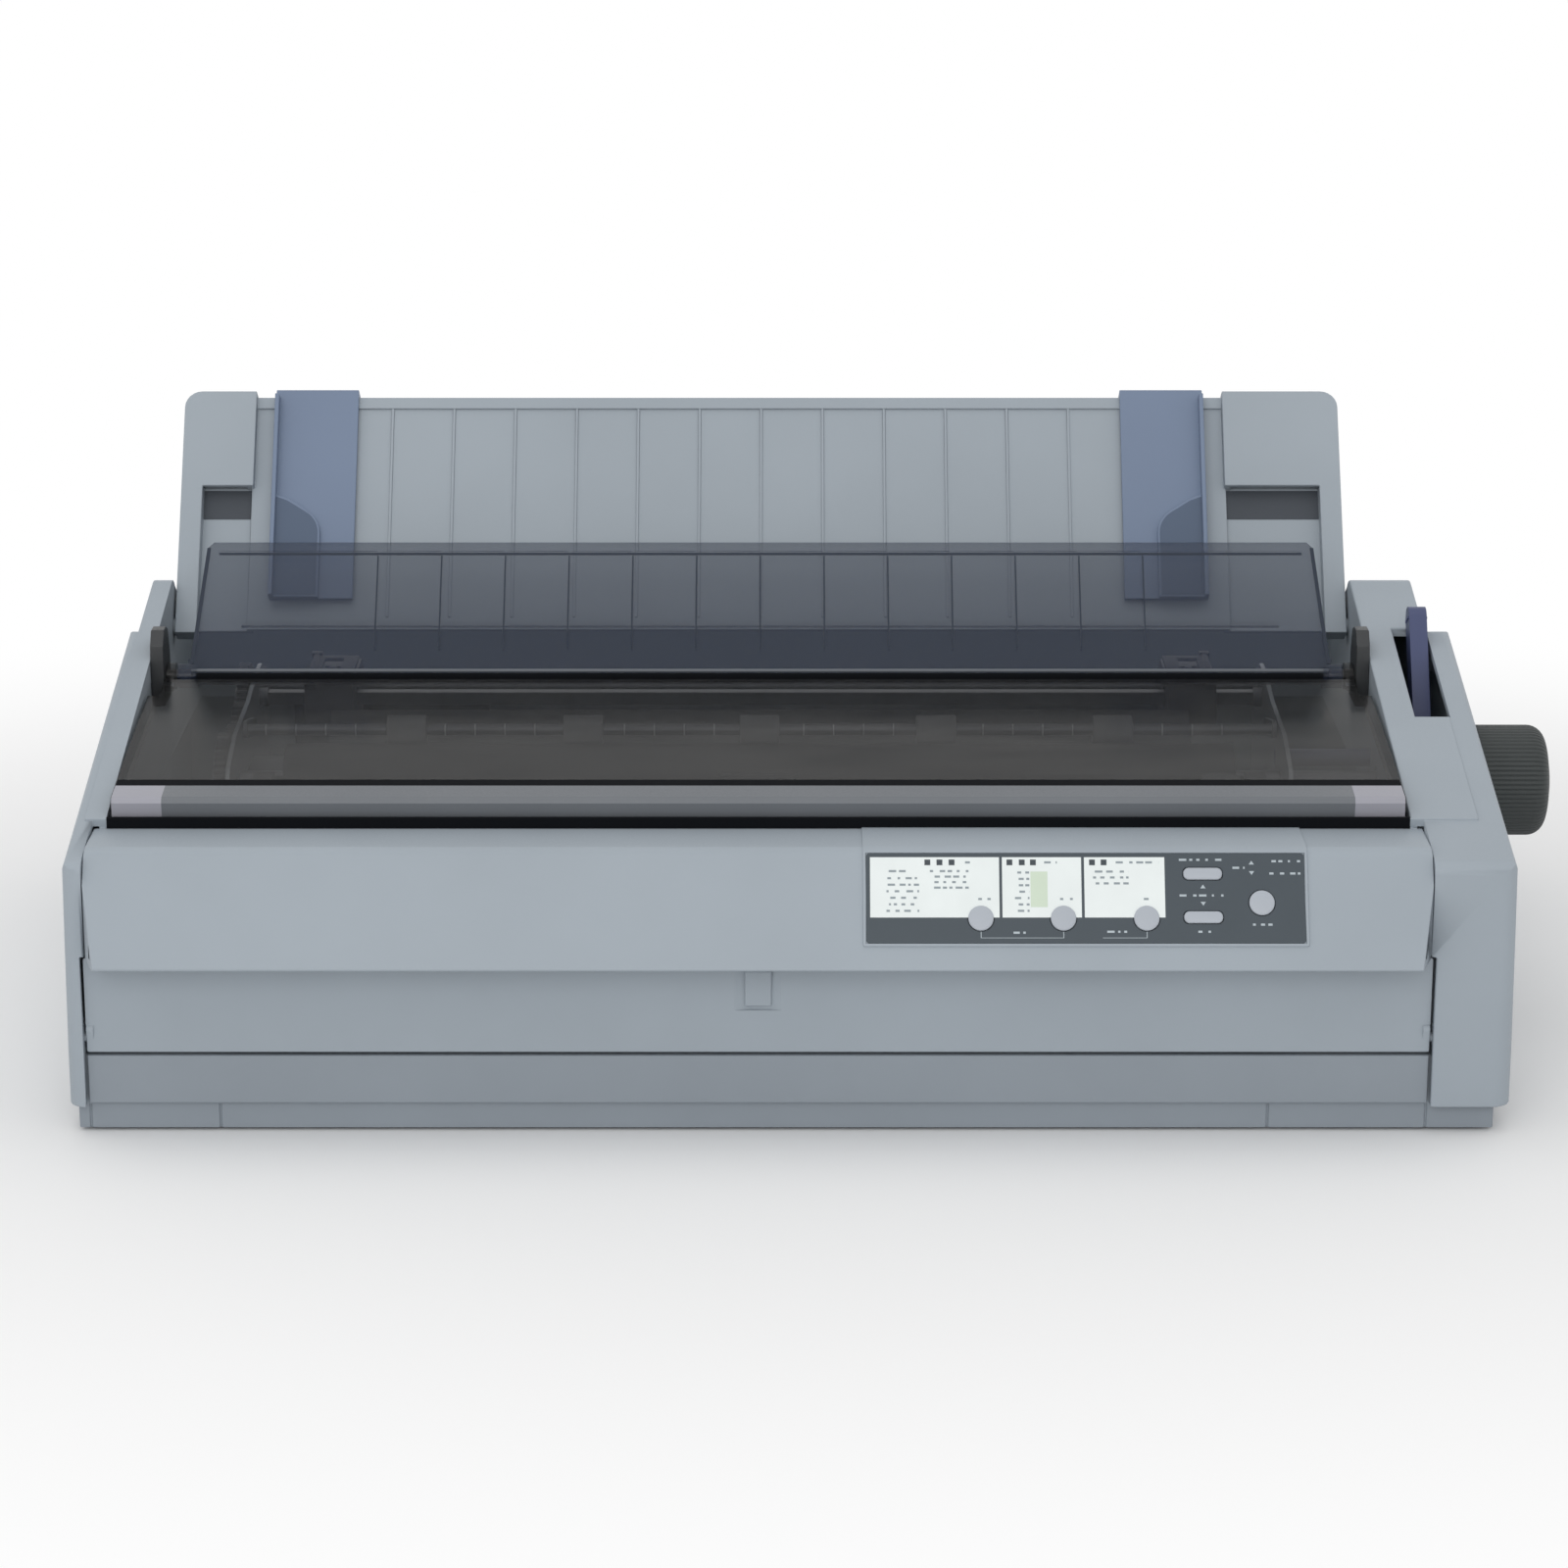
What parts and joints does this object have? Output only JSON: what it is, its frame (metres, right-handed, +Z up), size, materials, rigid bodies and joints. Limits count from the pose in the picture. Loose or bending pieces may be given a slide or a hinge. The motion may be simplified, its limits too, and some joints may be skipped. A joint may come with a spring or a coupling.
{
  "type": "dot matrix printer",
  "caption": "Wide-carriage impact printer with sloping sides, hinged smoke covers, a raised sheet guide with edge guides, rear tractors, a paper feed knob and a control panel.",
  "frame": {"origin": "centre of the footprint on the surface that the feet stand on", "axes": "+X to the operator's right, towards the paper feed knob; +Y to the rear; +Z up"},
  "size_m": [0.639, 0.402, 0.2562],
  "materials": {
    "case_plastic": "fine moulded texture, satin",
    "base_plastic": "fine moulded texture",
    "smoke_plastic": "clear smoke tint, polished",
    "blue_plastic": "satin",
    "dark_blue_plastic": "satin",
    "knob_plastic": "fine ribs",
    "black_plastic": "matt",
    "white_plastic": "self-lubricating, satin",
    "button_plastic": "satin",
    "panel_film": "printed film",
    "rubber": "ground",
    "foot_rubber": "matt",
    "bright_steel": "ground",
    "zinc_sheet": "zinc plated sheet",
    "motor_steel": "satin",
    "head_aluminium": "black anodised",
    "ribbon_fabric": "inked nylon",
    "circuit_board": "glass epoxy with solder mask"
  },
  "bodies": {
    "case": {"lower_case": "base_plastic", "rubber_feet": "foot_rubber", "upper_case": "case_plastic", "hinge_brackets": "black_plastic", "panel_overlay": "panel_film", "panel_board": "circuit_board", "feed_motor": "motor_steel", "left_frame": "zinc_sheet", "right_frame": "zinc_sheet", "base_plate": "zinc_sheet", "carriage_rail": "zinc_sheet", "guide_rod": "bright_steel", "ribbon_cartridge": "black_plastic", "ribbon": "ribbon_fabric", "drive_belt": "rubber", "carriage_motor": "motor_steel", "tractor_guide_shaft": "bright_steel", "lower_paper_guide": "black_plastic", "main_board": "circuit_board", "power_supply": "circuit_board", "interface_connectors": "zinc_sheet", "mains_inlet": "black_plastic", "chassis_screws": "bright_steel"},
    "front_cover": {"front_cover": "case_plastic"},
    "printer_cover": {"printer_cover": "smoke_plastic"},
    "rear_lid": {"rear_lid": "smoke_plastic"},
    "sheet_guide": {"sheet_guide": "case_plastic"},
    "edge_guide_left": {"edge_guide_left": "blue_plastic"},
    "edge_guide_right": {"edge_guide_right": "blue_plastic"},
    "select_button_1": {"select_button_1": "button_plastic"},
    "select_button_2": {"select_button_2": "button_plastic"},
    "select_button_3": {"select_button_3": "button_plastic"},
    "feed_button_upper": {"feed_button_upper": "button_plastic"},
    "feed_button_lower": {"feed_button_lower": "button_plastic"},
    "pause_button": {"pause_button": "button_plastic"},
    "power_switch": {"power_switch": "black_plastic"},
    "platen": {"platen_shaft": "bright_steel", "platen": "rubber", "platen_knob": "knob_plastic", "platen_gear": "white_plastic"},
    "idler_gear": {"idler_gear": "white_plastic"},
    "tractor_idler_gear": {"tractor_idler_gear": "white_plastic"},
    "tractor_drive": {"tractor_drive_shaft": "bright_steel", "tractor_gear": "white_plastic"},
    "feed_pinion": {"feed_pinion": "bright_steel"},
    "carriage": {"carriage": "black_plastic", "print_head": "head_aluminium"},
    "ribbon_knob": {"ribbon_knob": "knob_plastic"},
    "motor_pulley": {"motor_pulley": "white_plastic"},
    "idler_pulley": {"idler_pulley": "white_plastic"},
    "paper_bail": {"paper_bail": "bright_steel", "bail_rollers": "rubber"},
    "tractor_left": {"tractor_left": "black_plastic"},
    "tractor_right": {"tractor_right": "black_plastic"},
    "tractor_sprocket_left": {"tractor_sprocket_left": "white_plastic"},
    "tractor_sprocket_right": {"tractor_sprocket_right": "white_plastic"},
    "tractor_cover_left": {"tractor_cover_left": "black_plastic"},
    "tractor_cover_right": {"tractor_cover_right": "black_plastic"},
    "release_lever": {"release_lever": "dark_blue_plastic"},
    "thickness_lever": {"thickness_lever": "blue_plastic"}
  },
  "joints": [
    {"name": "front_cover_hinge", "type": "hinge", "parent": "case", "child": "front_cover", "pos_m": [-0.0305, -0.177, 0.0419], "axis": [1, 0, 0], "range_deg": [0, 90]},
    {"name": "printer_cover_hinge", "type": "hinge", "parent": "case", "child": "printer_cover", "pos_m": [-0.0305, 0.003, 0.151], "axis": [-1, 0, 0], "range_deg": [0, 100]},
    {"name": "rear_lid_hinge", "type": "hinge", "parent": "case", "child": "rear_lid", "pos_m": [-0.0305, 0.003, 0.151], "axis": [1, 0, 0], "range_deg": [0, 90]},
    {"name": "sheet_guide_tilt", "type": "hinge", "parent": "case", "child": "sheet_guide", "pos_m": [-0.0305, 0.075, 0.156], "axis": [-1, 0, 0], "range_deg": [0, 46]},
    {"name": "edge_guide_left_slide", "type": "slide", "parent": "sheet_guide", "child": "edge_guide_left", "axis": [1, 0, 0], "range_m": [-0.006, 0.15]},
    {"name": "edge_guide_right_slide", "type": "slide", "parent": "sheet_guide", "child": "edge_guide_right", "axis": [1, 0, 0], "range_m": [-0.15, 0.006]},
    {"name": "select_button_1_press", "type": "slide", "parent": "case", "child": "select_button_1", "axis": [0, 0.8639, -0.5036], "range_m": [0, 0.001], "stiffness_N_per_m": 400},
    {"name": "select_button_2_press", "type": "slide", "parent": "case", "child": "select_button_2", "axis": [0, 0.8639, -0.5036], "range_m": [0, 0.001], "stiffness_N_per_m": 400},
    {"name": "select_button_3_press", "type": "slide", "parent": "case", "child": "select_button_3", "axis": [0, 0.8639, -0.5036], "range_m": [0, 0.001], "stiffness_N_per_m": 400},
    {"name": "feed_button_upper_press", "type": "slide", "parent": "case", "child": "feed_button_upper", "axis": [0, 0.8639, -0.5036], "range_m": [0, 0.001], "stiffness_N_per_m": 400},
    {"name": "feed_button_lower_press", "type": "slide", "parent": "case", "child": "feed_button_lower", "axis": [0, 0.8639, -0.5036], "range_m": [0, 0.001], "stiffness_N_per_m": 400},
    {"name": "pause_button_press", "type": "slide", "parent": "case", "child": "pause_button", "axis": [0, 0.8639, -0.5036], "range_m": [0, 0.001], "stiffness_N_per_m": 400},
    {"name": "power_switch_rock", "type": "hinge", "parent": "case", "child": "power_switch", "pos_m": [-0.3135, -0.133, 0.053], "axis": [0, 1, 0], "range_deg": [-6, 6]},
    {"name": "platen_spin", "type": "hinge", "parent": "case", "child": "platen", "pos_m": [-0.0305, -0.038, 0.114], "axis": [1, 0, 0], "continuous": true},
    {"name": "idler_gear_spin", "type": "hinge", "parent": "case", "child": "idler_gear", "pos_m": [-0.2685, -0.00562, 0.11683], "axis": [1, 0, 0], "continuous": true},
    {"name": "tractor_idler_gear_spin", "type": "hinge", "parent": "case", "child": "tractor_idler_gear", "pos_m": [-0.2685, 0.01904, 0.12093], "axis": [1, 0, 0], "continuous": true},
    {"name": "tractor_drive_spin", "type": "hinge", "parent": "case", "child": "tractor_drive", "pos_m": [-0.0305, 0.045, 0.13], "axis": [1, 0, 0], "continuous": true},
    {"name": "feed_pinion_spin", "type": "hinge", "parent": "case", "child": "feed_pinion", "pos_m": [-0.2685, -0.00224, 0.09763], "axis": [1, 0, 0], "continuous": true},
    {"name": "carriage_slide", "type": "slide", "parent": "case", "child": "carriage", "axis": [1, 0, 0], "range_m": [-0.175, 0.175]},
    {"name": "ribbon_knob_spin", "type": "hinge", "parent": "case", "child": "ribbon_knob", "pos_m": [0.1675, -0.104, 0.131], "axis": [0, 0, 1], "continuous": true},
    {"name": "motor_pulley_spin", "type": "hinge", "parent": "case", "child": "motor_pulley", "pos_m": [0.1745, -0.103, 0.071], "axis": [0, 0, 1], "range_deg": [-1400, 1400]},
    {"name": "idler_pulley_spin", "type": "hinge", "parent": "case", "child": "idler_pulley", "pos_m": [-0.2355, -0.103, 0.071], "axis": [0, 0, 1], "range_deg": [-1400, 1400]},
    {"name": "paper_bail_lift", "type": "hinge", "parent": "case", "child": "paper_bail", "pos_m": [-0.0305, 0.001, 0.128], "axis": [-1, 0, 0], "range_deg": [0, 12], "stiffness_Nm_per_rad": 0.3, "springref_deg": -17.19},
    {"name": "tractor_left_slide", "type": "slide", "parent": "case", "child": "tractor_left", "axis": [1, 0, 0], "range_m": [-0.012, 0.1]},
    {"name": "tractor_right_slide", "type": "slide", "parent": "case", "child": "tractor_right", "axis": [1, 0, 0], "range_m": [-0.1, 0.012]},
    {"name": "tractor_sprocket_left_spin", "type": "hinge", "parent": "tractor_left", "child": "tractor_sprocket_left", "pos_m": [-0.2275, 0.045, 0.13], "axis": [1, 0, 0], "continuous": true},
    {"name": "tractor_sprocket_right_spin", "type": "hinge", "parent": "tractor_right", "child": "tractor_sprocket_right", "pos_m": [0.1665, 0.045, 0.13], "axis": [1, 0, 0], "continuous": true},
    {"name": "tractor_cover_left_hinge", "type": "hinge", "parent": "tractor_left", "child": "tractor_cover_left", "pos_m": [-0.236, 0.043, 0.14543], "axis": [0, -1, 0], "range_deg": [0, 100]},
    {"name": "tractor_cover_right_hinge", "type": "hinge", "parent": "tractor_right", "child": "tractor_cover_right", "pos_m": [0.175, 0.043, 0.14543], "axis": [0, 1, 0], "range_deg": [0, 100]},
    {"name": "release_lever_swing", "type": "hinge", "parent": "case", "child": "release_lever", "pos_m": [0.2655, -0.016, 0.118], "axis": [1, 0, 0], "range_deg": [0, 70]},
    {"name": "thickness_lever_swing", "type": "hinge", "parent": "case", "child": "thickness_lever", "pos_m": [-0.2685, -0.088, 0.092], "axis": [1, 0, 0], "range_deg": [0, 30]}
  ],
  "couplings": [
    {"joint": "idler_gear_spin", "follows": "platen_spin", "ratio": -1.6},
    {"joint": "tractor_idler_gear_spin", "follows": "platen_spin", "ratio": 1.6},
    {"joint": "tractor_drive_spin", "follows": "platen_spin", "ratio": -1.3333},
    {"joint": "feed_pinion_spin", "follows": "platen_spin", "ratio": 2.8571},
    {"joint": "tractor_sprocket_left_spin", "follows": "platen_spin", "ratio": -1.3333},
    {"joint": "tractor_sprocket_right_spin", "follows": "platen_spin", "ratio": -1.3333},
    {"joint": "motor_pulley_spin", "follows": "carriage_slide", "rad_per_m": 133.33},
    {"joint": "idler_pulley_spin", "follows": "carriage_slide", "rad_per_m": 133.33}
  ]
}
